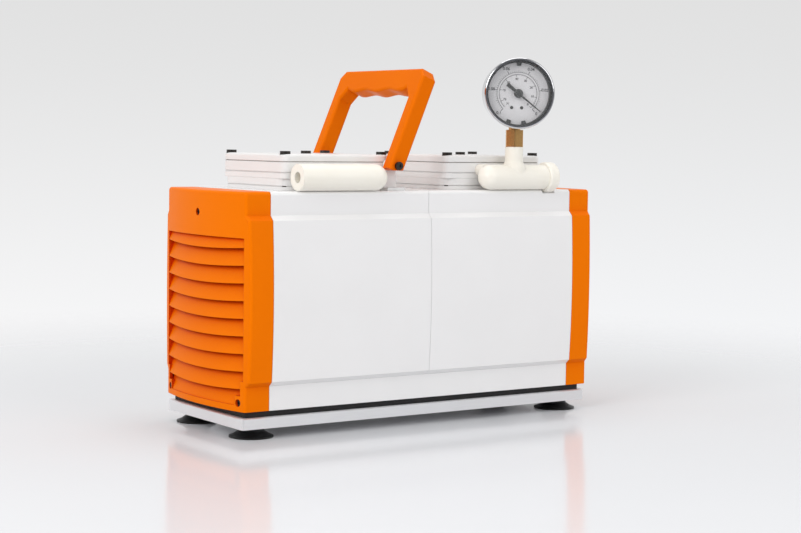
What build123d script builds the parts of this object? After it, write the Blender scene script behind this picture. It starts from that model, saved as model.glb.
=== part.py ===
from build123d import *
import math
import os

# Diaphragm vacuum pump with two heads on one motor shaft. Units are mm.
# Origin: floor level under the middle of the base plate. +X right, +Y back, +Z up.

# ---------------------------------------------------------------- base
PLATE_HALF_L = 175.0
PLATE_HALF_W = 63.3
PLATE_Z = 8.7
PLATE_TOP = 17.9
PAD_TOP = 23.1
PAD_HALF_L = 171.0
PAD_HALF_W = 60.6
FOOT_X = 156.4
FOOT_Y = 44.7
FOOT_R = 18.0
BOLT_Y = 40.0

# ---------------------------------------------------------------- casing outline, in the YZ plane
SKIRT_W = 65.6
PANEL_W = 69.6
BOW_W = 71.7
SKIRT_TOP = 42.8
PANEL_Z = 46.3
SHOULDER_Z = 173.8
NECK_Z = 177.8
DECK_Z = 196.6
TOP_R = 3.0
WALL = 2.5
CASE_END = 152.0
SEAM = 0.2
INSET_RISE = 0.4

# ---------------------------------------------------------------- end caps
CAP_START = CASE_END + SEAM
CAP_X = 181.8
CAP_R = 290.6
CAP_WALL = 3.0
LIP_TOP = 152.5
LIP_PITCH = 13.9
LIP_COUNT = 10
LIP_DIP = 1.9
LIP_T = 2.0
LIP_LAP = 1.5
BLADE_DEPTH = 6.0
BLADE_TILT = 17.0
FIELD_W = 63.5
FIELD_SKIRT_W = 60.0
FIELD_TOP = 160.0
FIELD_LOW = 28.0
CAP_SCREW_Z = 178.6
CAP_SCREW_LOW_Y = 57.5
CAP_SCREW_LOW_Z = 30.0

# ---------------------------------------------------------------- drive
HX = 80.2
SHAFT_Z = 96.0
SHAFT_R = 6.0
THROW = 3.5
RUN = 0.04
CRANK_HALF = 24.2
CRANK_WALL = 5.0
BEARING_R = 14.0
BEARING_W = 8.0
ECC_R = 13.0
ECC_HALF = 7.0
ROD_BEARING_R = 18.0
ROD_BIG_R = 23.0
ROD_HALF = 6.0
STATOR_R = 46.0
ROTOR_R = 25.0
CORE_HALF = 28.0

# ---------------------------------------------------------------- heads
HEAD_L = 103.0
HEAD_W = 100.0
HEAD_FACE = HEAD_W / 2
BASE_TOP = 206.2
PLATE2_TOP = 219.5
COVER_Z = 220.1
COVER_TOP = 226.0
SCREW_DX = 46.3
SCREW_DY = 43.95
BORE_R = 34.0
MEMBRANE_T = 2.0
PORT_Z = 213.5
PORT_IN = 16.0
PORT_R = 3.2
GAP = 0.3

# ---------------------------------------------------------------- pneumatics
PIPE_Y = -63.3
PIPE_Z = 207.6
PIPE_R = 10.8
TEE_X = 91.0
TEE_TOP = 233.6
INLET_R = 5.2
OUTLET_R = 4.5
NUT_R = 13.1
NUT_X0 = 123.0
NUT_X1 = 133.0
TUBE_Z = 203.7
TUBE_R = 4.0

# ---------------------------------------------------------------- gauge
GAUGE_TURN = 29.0
GAUGE_TILT = 2.6
GAUGE_SHIFT = 1.7
GAUGE_Z = 279.2
CASE_R = 29.0
BEZEL_R = 30.4
HEX_TURN = 4.0
POINTER_REST = -36.0

# ---------------------------------------------------------------- handle
PIVOT_X = -30.5
PIVOT_Z = 217.0
LEAN = 23.0
HANDLE_OUT = 64.0
HANDLE_IN = 52.7
HANDLE_TOP = 85.3
HANDLE_HALF = 7.35
HANDLE_R = 2.4
LEG_END_Z = 213.2

# ---------------------------------------------------------------- electrics
REAR_Y = 72.4
SOCKET_X = 98.0
SWITCH_X = 45.0
PANEL_MID = 80.0
PANEL_X = (20.0, 132.0)
PANEL_TALL = (50.0, 110.0)


def block(x0, x1, y0, y1, z0, z1):
    size = Box(x1 - x0, y1 - y0, z1 - z0)
    return Pos((x0 + x1) / 2, (y0 + y1) / 2, (z0 + z1) / 2) * size


def rod_x(x0, x1, y, z, r):
    return Pos((x0 + x1) / 2, y, z) * Rot(0, 90, 0) * Cylinder(r, x1 - x0)


def rod_y(y0, y1, x, z, r):
    return Pos(x, (y0 + y1) / 2, z) * Rot(90, 0, 0) * Cylinder(r, y1 - y0)


def rod_z(z0, z1, x, y, r):
    return Pos(x, y, (z0 + z1) / 2) * Cylinder(r, z1 - z0)


def slab(cx, cy, z0, z1, length, width, r):
    return Pos(cx, cy, z0) * extrude(RectangleRounded(length, width, r), z1 - z0)


def band(cx, z0, z1, length, width, r, depth):
    outer = slab(cx, 0, z0, z1, length + 2, width + 2, r + 1)
    return outer - slab(cx, 0, z0, z1, length - 2 * depth, width - 2 * depth, r - depth)


def other_side(part):
    return mirror(part, about=Plane.YZ)


def section(t=0.0):
    """Casing outline in the YZ plane, moved inwards by t."""
    rise = INSET_RISE * t
    low = PAD_TOP + t
    z1 = SKIRT_TOP + rise
    z2 = PANEL_Z + rise
    z3 = SHOULDER_Z - rise
    z4 = NECK_Z - rise
    mid = (PANEL_Z + SHOULDER_Z) / 2
    with BuildSketch() as s:
        with BuildLine():
            Polyline((0, low), (SKIRT_W - t, low), (SKIRT_W - t, z1), (PANEL_W - t, z2))
            ThreePointArc((PANEL_W - t, z2), (BOW_W - t, mid), (PANEL_W - t, z3))
            Polyline((PANEL_W - t, z3), (SKIRT_W - t, z4), (SKIRT_W - t, DECK_Z - t), (0, DECK_Z - t))
            mirror(about=Plane.YZ)
        make_face()
        if t < TOP_R - 0.6:
            fillet(s.vertices().group_by(Axis.Y)[-1], TOP_R - t)
    return s.sketch


def prism(sketch, x0, x1):
    return Pos(x0, 0, 0) * extrude(Plane.YZ * sketch, x1 - x0)


# ---------------------------------------------------------------- base parts
def base_plate():
    plate = slab(0, 0, PLATE_Z, PLATE_TOP, 2 * PLATE_HALF_L, 2 * PLATE_HALF_W, 2.5)
    plate = chamfer(plate.faces().sort_by(Axis.Z)[-1].edges(), 0.8)
    for x in (-FOOT_X, FOOT_X):
        for y in (-FOOT_Y, FOOT_Y):
            plate -= rod_z(PLATE_Z, 17.5, x, y, 3.0)
    for x in (-HX, HX):
        for y in (-BOLT_Y, BOLT_Y):
            plate -= rod_z(PLATE_Z, 14.2, x, y, 5.0)
            plate -= rod_z(PLATE_Z, PLATE_TOP, x, y, 2.7)
    return plate


def base_pad():
    pad = slab(0, 0, PLATE_TOP, PAD_TOP, 2 * PAD_HALF_L, 2 * PAD_HALF_W, 3.0)
    for x in (-HX, HX):
        for y in (-BOLT_Y, BOLT_Y):
            pad -= rod_z(PLATE_TOP, PAD_TOP, x, y, 2.7)
    return pad


def foot(x, y):
    with BuildSketch(Plane.XZ) as s:
        Polygon(
            (0, 4), (8, 4), (15, 0), (FOOT_R, 0), (FOOT_R, 1.2),
            (14.5, 2.6), (10.6, 5.2), (9, PLATE_Z), (0, PLATE_Z), align=None,
        )
    cup = revolve(s.sketch, Axis.Z)
    cup -= rod_z(4, 6, 0, 0, 5.0)
    cup -= rod_z(6, PLATE_Z, 0, 0, 3.0)
    return Pos(x, y, 0) * cup


def foot_stud(x, y):
    return rod_z(4, 6, x, y, 5.0) + rod_z(6, 17.5, x, y, 3.0)


def at_feet(make):
    return [make(x, y) for x in (-FOOT_X, FOOT_X) for y in (-FOOT_Y, FOOT_Y)]


def chassis_bolt(x, y):
    bolt = rod_z(9.7, 14.2, x, y, 4.5) + rod_z(14.2, 33.0, x, y, 2.5)
    hexagon = Pos(x, y, 9.7) * extrude(RegularPolygon(2.3, 6), 2.5)
    return bolt - hexagon


def chassis_bolts():
    return [chassis_bolt(x, y) for x in (-HX, HX) for y in (-BOLT_Y, BOLT_Y)]


# ---------------------------------------------------------------- casing
def chassis_tray():
    tray = prism(section(), -CASE_END, CASE_END) - prism(section(WALL), -190, 190)
    tray &= block(-200, 200, -90, 90, 0, SKIRT_TOP)
    for x0 in (-CASE_END, 140.0):
        for y0 in (-63.3, 52.0):
            tray += block(x0, x0 + 12.0, y0, y0 + 11.3, 25.0, 36.0)
    for y in (-CAP_SCREW_LOW_Y, CAP_SCREW_LOW_Y):
        tray -= rod_x(-160, 160, y, CAP_SCREW_LOW_Z, 1.5)
    for x in (-24.0, 20.0):
        tray += block(x, x + 4.0, -61.0, -31.0, 25.0, 40.0) - rod_x(-40, 40, -46.0, 41.0, 15.0)
    for x in (-HX, HX):
        for y in (-BOLT_Y, BOLT_Y):
            tray -= rod_z(PAD_TOP, 26.0, x, y, 2.7)
    return tray


def casing_half():
    shell = prism(section(), SEAM / 2, CASE_END) - prism(section(WALL), -10, 190)
    shell &= block(0, 200, -90, 90, SKIRT_TOP, 200)
    shell += block(140.0, CASE_END, -6.0, 6.0, 172.0, DECK_Z - 1)
    shell -= rod_x(130, 160, 0, CAP_SCREW_Z, 1.5)
    shell -= rod_z(190, 200, HX, 0, 43.8)
    for dx in (-SCREW_DX, SCREW_DX):
        for dy in (-SCREW_DY, SCREW_DY):
            shell -= rod_z(190, 200, HX + dx, dy, 3.0)
    return shell


def casing_left():
    shell = other_side(casing_half())
    for y in (-58.0, 58.0):
        shell += rod_z(186.0, DECK_Z - 1, PIVOT_X, y, 4.5)
        shell -= rod_z(180.0, 200.0, PIVOT_X, y, 2.0)
    return shell


def rear_panel():
    """Rear service panel, as plain bars round the socket's and the switch's windows."""
    left, right = PANEL_X
    bottom, top = PANEL_TALL
    low, high = PANEL_MID - 9.9, PANEL_MID + 9.9
    bars = [(left, right, bottom, low), (left, right, high, top)]
    bars += [(left, SWITCH_X - 7.3, low, high), (SWITCH_X + 7.3, SOCKET_X - 13.6, low, high)]
    bars += [(SOCKET_X + 13.6, right, low, high)]
    return [block(x0, x1, 68.8, REAR_Y, z0, z1) for x0, x1, z0, z1 in bars]


def casing_right():
    shell = casing_half()
    shell -= block(*PANEL_X, 40, 90, *PANEL_TALL)
    envelope = prism(section(), 100, CASE_END - 1)
    pocket = rod_x(119.0, 137.5, PIPE_Y, PIPE_Z, NUT_R + 3.5) & envelope
    shell += pocket
    shell -= rod_x(121.5, 135.0, PIPE_Y, PIPE_Z, NUT_R + 1.0)
    return shell


def blade(index):
    """One louvre: a sloping strip swept round the end face, its lip a little in from it."""
    lip = LIP_TOP - index * LIP_PITCH - LIP_DIP
    depth = 3.5 if index == 0 else BLADE_DEPTH
    height = 9.0 if index == 0 else LIP_PITCH + LIP_LAP
    face_x = CAP_X - 0.15
    with BuildSketch(Plane.XZ) as s:
        Polygon(
            (face_x, lip), (face_x - LIP_T, lip),
            (face_x - depth - LIP_T, lip + height), (face_x - depth, lip + height), align=None,
        )
    tilt = math.radians(BLADE_TILT)
    reach = CAP_R * math.cos(tilt)
    centre = (CAP_X - reach * math.cos(tilt), 0, lip + reach * math.sin(tilt))
    spin = Axis(centre, (math.sin(tilt), 0, math.cos(tilt)))
    strip = revolve(s.sketch, spin, 28.4)
    return strip.rotate(spin, -14.2)


def cap_shell():
    keep = Pos(CAP_X - CAP_R, 0, 100) * Cylinder(CAP_R, 300)
    outer = prism(section(), CAP_START, 190) & keep
    face = outer.faces().filter_by(GeomType.CYLINDER).sort_by(SortBy.AREA)[-1]
    rim = face.edges().filter_by(lambda e: e.center().Z > PAD_TOP + 1)
    outer = fillet(rim, 2.4)
    hollow = Pos(CAP_X - CAP_R, 0, 100) * Cylinder(CAP_R - CAP_WALL, 300)
    return outer, prism(section(CAP_WALL), 140, 190) & hollow


def cap_spots():
    low = CAP_SCREW_LOW_Y
    return ((0, CAP_SCREW_Z, 178.6), (-low, CAP_SCREW_LOW_Z, 173.0), (low, CAP_SCREW_LOW_Z, 173.0))


def cap_pieces(outer, hollow):
    field = block(165, 190, -FIELD_W, FIELD_W, PANEL_Z + 1, FIELD_TOP)
    field += block(165, 190, -FIELD_SKIRT_W, FIELD_SKIRT_W, FIELD_LOW, PANEL_Z + 2)
    for s in (-1, 1):
        field -= block(165, 190, *sorted((s * 54.0, s * 61.0)), 20.0, 35.5)
    room = block(150, 190, -FIELD_W - 1, FIELD_W + 1, PAD_TOP, 170) & outer
    ring = Pos(CAP_X - CAP_R, 0, 100) * (Cylinder(CAP_R - 2.8, 300) - Cylinder(CAP_R - 9, 300))
    pieces = [outer - hollow - field]
    pieces += [blade(i) & room for i in range(LIP_COUNT)]
    for s in (-1, 1):
        rail = block(150, 190, *sorted((s * FIELD_W, s * (FIELD_W + 2))), 25.0, 162.0)
        pieces.append(rail & ring & outer)
    pieces += [rod_x(CAP_START, 182, y, z, 4.0) & outer for y, z, seat in cap_spots()]
    return pieces


def end_cap():
    outer, hollow = cap_shell()
    cap = None
    for piece in cap_pieces(outer, hollow):
        for y, z, seat in cap_spots():
            piece -= rod_x(140, 190, y, z, 1.7)
            piece -= rod_x(seat, 190, y, z, 3.0)
        cap = piece if cap is None else cap + piece
    return cap


def cap_screw(y, z, seat):
    screw = rod_x(141.0, seat, y, z, 1.5) + rod_x(seat, seat + 2.0, y, z, 2.6)
    return screw - rod_x(seat + 1.0, seat + 3.0, y, z, 1.1)


def cap_screws():
    right = [cap_screw(*spot) for spot in cap_spots()]
    return right + [other_side(screw) for screw in right]


# ---------------------------------------------------------------- drive
def crankcase():
    case = block(HX - CRANK_HALF, HX + CRANK_HALF, -48, 48, PAD_TOP + WALL, 34.0)
    inner = CRANK_HALF - CRANK_WALL
    for s in (-1, 1):
        wall = sorted((HX + s * inner, HX + s * CRANK_HALF))
        boss = sorted((HX + s * (CRANK_HALF - BEARING_W), HX + s * CRANK_HALF))
        case += block(*wall, -40, 40, 33.0, 187.0)
        case += rod_x(*boss, 0, SHAFT_Z, BEARING_R + 4)
    case += slab(HX, 0, 186.0, 194.1, HEAD_L, HEAD_W, 12)
    case += rod_z(190.0, DECK_Z, HX, 0, 43.5)
    case -= rod_z(186.0, 200, HX, 0, BORE_R)
    case -= rod_x(HX - 30, HX + 30, 0, SHAFT_Z, BEARING_R)
    for y in (-33.0, 33.0):
        for z in (SHAFT_Z - 45, SHAFT_Z + 45):
            case -= rod_x(HX - 30, HX - 10, y, z, 2.2)
    for y in (-BOLT_Y, BOLT_Y):
        case -= rod_z(20, 35, HX, y, 2.5)
    for dx in (-SCREW_DX, SCREW_DX):
        for dy in (-SCREW_DY, SCREW_DY):
            case -= rod_z(180, 200, HX + dx, dy, 2.5)
    return case


def main_bearings():
    rings = []
    for x0 in (HX - CRANK_HALF, HX + CRANK_HALF - BEARING_W):
        ring = rod_x(x0, x0 + BEARING_W, 0, SHAFT_Z, BEARING_R)
        rings.append(ring - rod_x(x0, x0 + BEARING_W, 0, SHAFT_Z, SHAFT_R + RUN))
    return rings + [other_side(ring) for ring in rings]


def stator_core():
    core = rod_x(-CORE_HALF, CORE_HALF, 0, SHAFT_Z, STATOR_R)
    return core - rod_x(-CORE_HALF, CORE_HALF, 0, SHAFT_Z, ROTOR_R + 0.5)


def stator_windings():
    ring = rod_x(CORE_HALF, 40.0, 0, SHAFT_Z, 40.0) - rod_x(CORE_HALF, 40.0, 0, SHAFT_Z, 28.0)
    ring = fillet(ring.faces().sort_by(Axis.X)[-1].edges(), 3.0)
    return [ring, other_side(ring)]


def motor_end_bells():
    bell = rod_x(CORE_HALF, 52.0, 0, SHAFT_Z, STATOR_R) - rod_x(CORE_HALF, 52.0, 0, SHAFT_Z, 42.0)
    plate = extrude(Plane.YZ * RectangleRounded(80, 104, 8), HX - CRANK_HALF - 52.0)
    bell += Pos(52.0, 0, SHAFT_Z) * plate
    bell -= rod_x(50, 60, 0, SHAFT_Z, 15.0)
    for y in (-33.0, 33.0):
        for z in (SHAFT_Z - 45, SHAFT_Z + 45):
            bell -= rod_x(50, 60, y, z, 2.2)
    return [bell, other_side(bell)]


def motor_screws():
    face = HX - CRANK_HALF + CRANK_WALL
    right = []
    for y in (-33.0, 33.0):
        for z in (SHAFT_Z - 45, SHAFT_Z + 45):
            right.append(rod_x(52.5, face, y, z, 2.2) + rod_x(face, face + 3.0, y, z, 3.8))
    return right + [other_side(screw) for screw in right]


def run_capacitor():
    can = rod_x(-30.0, 30.0, -46.0, 41.0, 15.0)
    return fillet(can.edges(), 1.2)


def rotor_shaft():
    shaft = rod_x(-138.0, 138.0, 0, SHAFT_Z, SHAFT_R)
    return chamfer(shaft.edges(), 0.8)


def rotor_core():
    core = rod_x(-CORE_HALF, CORE_HALF, 0, SHAFT_Z, ROTOR_R)
    return core - rod_x(-CORE_HALF, CORE_HALF, 0, SHAFT_Z, SHAFT_R)


def eccentric(side, throw):
    """Eccentric disc with the counterweight opposite its throw; side is -1 or 1."""
    x0 = side * HX - ECC_HALF
    x1 = side * HX + ECC_HALF
    w0, w1 = sorted((side * (HX + ECC_HALF), side * (HX + ECC_HALF + 5.0)))
    part = rod_x(x0, x1, 0, SHAFT_Z + throw, ECC_R)
    part += rod_x(w0, w1, 0, SHAFT_Z, 10.0)
    weight = rod_x(w0, w1, 0, SHAFT_Z, 24.0)
    low = sorted((SHAFT_Z, SHAFT_Z - math.copysign(30, throw)))
    part += weight & block(w0, w1, -30, 30, *low)
    return part - rod_x(x0 - 10, x1 + 10, 0, SHAFT_Z, SHAFT_R)


def cooling_fan():
    fan = rod_x(116, 134, 0, SHAFT_Z, 11.0)
    for i in range(7):
        vane = Rot(i * 360 / 7, 0, 0) * Pos(0, 28.5, 0) * Rot(0, 35, 0) * Box(20, 38, 2)
        fan += Pos(125, 0, SHAFT_Z) * vane
    return fan - rod_x(100, 140, 0, SHAFT_Z, SHAFT_R)


def rod_bearing(side, throw):
    x0 = side * HX - ROD_HALF
    x1 = side * HX + ROD_HALF
    z = SHAFT_Z + throw
    return rod_x(x0, x1, 0, z, ROD_BEARING_R) - rod_x(x0, x1, 0, z, ECC_R + RUN)


def connecting_rod(side, throw):
    cx = side * HX
    z = SHAFT_Z + throw
    hub_top = BASE_TOP + throw - GAP
    rod = rod_x(cx - ROD_HALF, cx + ROD_HALF, 0, z, ROD_BIG_R)
    rod += block(cx - 5, cx + 5, -6.5, 6.5, z + 15, hub_top - 2)
    rod += rod_z(hub_top - 4, hub_top, cx, 0, 17.0)
    rod += rod_z(hub_top - 1, BASE_TOP + throw + MEMBRANE_T + GAP, cx, 0, 4.0)
    return rod - rod_x(cx - 20, cx + 20, 0, z, ROD_BEARING_R)


def diaphragm_clamp(side, throw):
    z = BASE_TOP + throw + MEMBRANE_T + GAP
    disc = rod_z(z, z + 1.8, side * HX, 0, 20.0)
    return chamfer(disc.faces().sort_by(Axis.Z)[-1].edges(), 0.8)


def diaphragm(side, throw):
    low = BASE_TOP
    top = BASE_TOP + MEMBRANE_T
    with BuildSketch(Plane.XZ) as s:
        Polygon(
            (4.3, low + throw), (21, low + throw), (32.5, low), (42, low),
            (42, top), (32.5, top), (21, top + throw), (4.3, top + throw), align=None,
        )
    return Pos(side * HX, 0, 0) * revolve(s.sketch, Axis.Z)


# ---------------------------------------------------------------- heads, right side
def head_corners(part, r, z0=180.0, z1=240.0):
    for dx in (-SCREW_DX, SCREW_DX):
        for dy in (-SCREW_DY, SCREW_DY):
            part -= rod_z(z0, z1, HX + dx, dy, r)
    return part


def head_base():
    base = slab(HX, 0, DECK_Z, BASE_TOP, HEAD_L, HEAD_W, 12)
    base = head_corners(base, 2.7)
    base -= rod_z(DECK_Z, BASE_TOP, HX, 0, BORE_R)
    return base - band(HX, 199.6, 200.4, HEAD_L, HEAD_W, 12, 0.7)


def valve_plate(front_x):
    plate = slab(HX, 0, BASE_TOP, PLATE2_TOP, HEAD_L, HEAD_W, 6)
    plate = head_corners(plate, 2.7)
    plate -= rod_z(BASE_TOP, BASE_TOP + MEMBRANE_T, HX, 0, 42.3)
    plate -= rod_z(BASE_TOP, 211.2, HX, 0, 33.5)
    plate -= rod_z(BASE_TOP, 214.3, HX, 0, 26.5)
    plate -= rod_z(215.0, 230, HX, 0, 2.5)
    plate -= band(HX, 210.6, 211.4, HEAD_L, HEAD_W, 6, 0.7)
    plate -= rod_z(214, 230, HX - 12, 0, 3.0) + rod_z(214.3, 215.3, HX - 12, 0, 8.0)
    plate -= rod_z(214, 230, HX + 12, 0, 3.0) + rod_z(218.5, 230, HX + 12, 0, 8.0)
    ports = ((HX + front_x, -1), (HX - PORT_IN, 1), (HX + PORT_IN, 1))
    for x, s in ports:
        plate -= rod_y(*sorted((s * 37.8, s * 51.0)), x, PORT_Z, PORT_R)
        plate -= rod_z(PORT_Z, 230, x, s * 41.0, 3.0)
    return plate


def valve_discs():
    seats = ((HX - 12, 214.4), (HX + 12, 218.5))
    right = []
    for x, z in seats:
        disc = rod_z(z, z + 0.9, x, 0, 7.6)
        right.append(disc - rod_z(z - 1, z + 2, x, 0, 1.2))
    return right + [other_side(disc) for disc in right]


def flow_pockets(z0, z1):
    left = block(HX - 25, HX - 7, -44.5, 44.5, z0, z1)
    return left + block(HX + 7, HX + 25, -44.5, 44.5, z0, z1)


def cover_gasket():
    sheet = slab(HX, 0, PLATE2_TOP, COVER_Z, HEAD_L - 1.4, HEAD_W - 1.4, 5.5)
    sheet = head_corners(sheet, 2.7)
    sheet -= rod_z(PLATE2_TOP, COVER_Z, HX, 0, 2.7)
    return sheet - flow_pockets(PLATE2_TOP, COVER_Z)


def head_cover():
    cover = slab(HX, 0, COVER_Z, COVER_TOP, HEAD_L, HEAD_W, 6)
    cover = fillet(cover.faces().sort_by(Axis.Z)[-1].edges(), 2.0)
    cover = head_corners(cover, 2.7)
    cover = head_corners(cover, 4.6, 223.3)
    cover -= rod_z(COVER_Z, 230, HX, 0, 2.7) + rod_z(223.3, 230, HX, 0, 4.6)
    return cover - flow_pockets(COVER_Z, 223.1)


def head_screw(x, y, tip):
    screw = rod_z(tip, 223.3, x, y, 2.5) + rod_z(223.3, 228.3, x, y, 4.25)
    hexagon = Pos(x, y, 225.8) * extrude(RegularPolygon(2.3, 6), 2.5)
    return screw - hexagon


def head_screws():
    screws = []
    for cx in (-HX, HX):
        screws.append(head_screw(cx, 0, 215.5))
        for dx in (-SCREW_DX, SCREW_DX):
            for dy in (-SCREW_DY, SCREW_DY):
                screws.append(head_screw(cx + dx, dy, 188.0))
    return screws


# ---------------------------------------------------------------- pneumatics
def port_boss(x, bored):
    boss = rod_y(-60.0, -HEAD_FACE, x, PORT_Z, 5.0)
    return boss, rod_y(-64.0, -HEAD_FACE, x, PORT_Z, PORT_R) if bored else None


def outlet_manifold():
    end = -126.5
    dome = -53.4
    pipe = rod_x(end, dome, PIPE_Y, PIPE_Z, PIPE_R) + Pos(dome, PIPE_Y, PIPE_Z) * Sphere(PIPE_R)
    bosses = [port_boss(-HX - PORT_IN, True), port_boss(-HX + PORT_IN, False)]
    for boss, hole in bosses:
        pipe += boss
    pipe -= rod_x(end, end + 14, PIPE_Y, PIPE_Z, OUTLET_R)
    pipe -= rod_x(end, -92.0, PIPE_Y, PIPE_Z, 3.5)
    for boss, hole in bosses:
        if hole is not None:
            pipe -= hole
    return pipe


def inlet_manifold():
    dome = 66.0
    pipe = rod_x(dome, NUT_X0, PIPE_Y, PIPE_Z, PIPE_R) + Pos(dome, PIPE_Y, PIPE_Z) * Sphere(PIPE_R)
    pipe += rod_x(NUT_X0, 131.0, PIPE_Y, PIPE_Z, 9.0)
    pipe += rod_z(PIPE_Z, TEE_TOP, TEE_X, PIPE_Y, 7.8)
    pipe += Pos(TEE_X, PIPE_Y, 218.5) * Cone(10.4, 7.8, 5.0)
    pipe += rod_z(PIPE_Z, 216.0, TEE_X, PIPE_Y, 10.4)
    bosses = [port_boss(HX - PORT_IN, True), port_boss(HX + PORT_IN, False)]
    for boss, hole in bosses:
        pipe += boss
    pipe -= rod_x(116.0, 131.0, PIPE_Y, PIPE_Z, INLET_R)
    pipe -= rod_x(60.0, 120.0, PIPE_Y, PIPE_Z, 4.0)
    pipe -= rod_z(226.0, TEE_TOP, TEE_X, PIPE_Y, 4.9)
    pipe -= rod_z(PIPE_Z, TEE_TOP, TEE_X, PIPE_Y, 3.0)
    for boss, hole in bosses:
        if hole is not None:
            pipe -= hole
    return pipe


def inlet_nut():
    nut = rod_x(NUT_X0, NUT_X1, PIPE_Y, PIPE_Z, NUT_R)
    nut = fillet(nut.edges(), 2.0)
    nut -= rod_x(NUT_X0, 131.0, PIPE_Y, PIPE_Z, 9.0)
    return nut - rod_x(NUT_X0, NUT_X1, PIPE_Y, PIPE_Z, INLET_R)


def fitting(x, y):
    body = rod_z(198.5, 218.5, x, y, 6.5)
    body += rod_y(HEAD_FACE, y, x, PORT_Z, 5.0)
    hexagon = extrude(Plane.XZ * RegularPolygon(6.2, 6), -4.0)
    body += Pos(x, HEAD_FACE, PORT_Z) * hexagon
    inward = sorted((0, x - math.copysign(4.0, x)))
    body -= rod_x(*inward, y, TUBE_Z, TUBE_R)
    body -= rod_y(HEAD_FACE - 1, y, x, PORT_Z, PORT_R)
    return body - rod_z(TUBE_Z, PORT_Z, x, y, 2.5)


def fitting_spots():
    return ((HX - PORT_IN, 57.6), (HX + PORT_IN, 70.0))


def crossover_fittings():
    right = [fitting(x, y) for x, y in fitting_spots()]
    return right + [other_side(part) for part in right]


def crossover_tubes():
    tubes = []
    for x, y in fitting_spots():
        tube = rod_x(-x + 4.0, x - 4.0, y, TUBE_Z, TUBE_R)
        tubes.append(tube - rod_x(-x, x, y, TUBE_Z, 2.6))
    return tubes


# ---------------------------------------------------------------- gauge
def gauge_plane():
    turn = math.radians(GAUGE_TURN)
    tilt = math.radians(GAUGE_TILT)
    c, s = math.cos(turn), math.sin(turn)
    return Plane(
        origin=(TEE_X + GAUGE_SHIFT * c, PIPE_Y - GAUGE_SHIFT * s, GAUGE_Z),
        x_dir=(c * math.cos(tilt), -s * math.cos(tilt), -math.sin(tilt)),
        z_dir=(-s, -c, 0),
    )


def disc(z0, z1, r, x=0.0, y=0.0):
    """Round piece in the gauge's own frame, whose z points at the reader."""
    return gauge_plane() * (Pos(x, y, (z0 + z1) / 2) * Cylinder(r, z1 - z0))


def gauge_stem():
    stem = rod_z(226.0, TEE_TOP, TEE_X, PIPE_Y, 4.9)
    hexagon = Pos(TEE_X, PIPE_Y, TEE_TOP) * Rot(0, 0, -HEX_TURN) * extrude(RegularPolygon(8.4, 6), 14.6)
    stem += hexagon & (rod_z(TEE_TOP, 248.2, TEE_X, PIPE_Y, 8.2))
    stem += rod_z(248.0, 252.0, TEE_X, PIPE_Y, 5.0)
    return stem - rod_z(226.0, 252.0, TEE_X, PIPE_Y, 1.5)


def gauge_case():
    cup = disc(-10, 11, CASE_R)
    cup -= disc(-8.5, 5, 25.0)
    cup -= disc(5, 11, 28.0)
    cup += disc(-8.5, 9.2, 1.0)
    cup -= rod_z(240.0, 252.0, TEE_X, PIPE_Y, 5.0)
    return cup


def gauge_bezel():
    ring = disc(8, 16, BEZEL_R)
    ring = fillet(ring.faces().sort_by(Axis((0, 0, 0), tuple(gauge_plane().z_dir)))[-1].edges(), 1.8)
    ring -= disc(8, 13, CASE_R)
    return ring - disc(8, 16, 28.0)


def gauge_lens():
    return disc(11, 13, 28.8)


def gauge_dial():
    return disc(5, 5.6, 27.6) - disc(5, 5.6, 1.6)


def gauge_pointer():
    with BuildSketch() as s:
        Circle(3.9)
        Polygon((0, 0.9), (24.4, 0.3), (24.4, -0.3), (0, -0.9), align=None)
        Polygon((0, 1.2), (-12.6, 1.6), (-12.6, -1.6), (0, -1.2), align=None)
        Circle(1.05, mode=Mode.SUBTRACT)
    body = Pos(0, 0, 8) * Rot(0, 0, POINTER_REST) * extrude(s.sketch, 0.8)
    return gauge_plane() * body


# ---------------------------------------------------------------- handle
def carry_handle():
    with BuildSketch() as s:
        with BuildLine():
            Polyline(
                (-HANDLE_IN, 58.6), (-HANDLE_IN, -6), (-HANDLE_OUT, -6),
                (-HANDLE_OUT, 78.8), (-57.5, HANDLE_TOP), (57.5, HANDLE_TOP), (HANDLE_OUT, 78.8),
                (HANDLE_OUT, -6), (HANDLE_IN, -6), (HANDLE_IN, 58.6), (45, 68.0),
            )
            Spline((45, 68.0), (33, 65.2), (17, 66.8), (0, 64.8), (-17, 66.8), (-33, 65.2), (-45, 68.0))
            Line((-45, 68.0), (-HANDLE_IN, 58.6))
        make_face()
    arch = Pos(-HANDLE_HALF, 0, 0) * extrude(Plane.YZ * s.sketch, 2 * HANDLE_HALF)
    long_edges = [e for face in (Axis.X, -Axis.X) for e in arch.faces().sort_by(face)[-1].edges()]
    arch = fillet([e for e in long_edges if e.center().Z > -5], HANDLE_R)
    arch -= block(-10, 10, -70, 70, -10, -5)
    for y in (-58.0, 58.0):
        arch -= rod_y(y - 8, y + 8, 0, 0, 2.25)
    arch = Pos(PIVOT_X, 0, PIVOT_Z) * Rot(0, LEAN, 0) * arch
    return arch - block(-80, 20, -80, 80, 190, LEG_END_Z)


def handle_pivot(side):
    shank = rod_y(*sorted((side * 50.4, side * 64.3)), PIVOT_X, PIVOT_Z, 2.2)
    head = rod_y(*sorted((side * 64.3, side * 66.9)), PIVOT_X, PIVOT_Z, 3.4)
    slot = rod_y(*sorted((side * 66.0, side * 68.0)), PIVOT_X, PIVOT_Z, 1.5)
    return shank + head - slot


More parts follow.
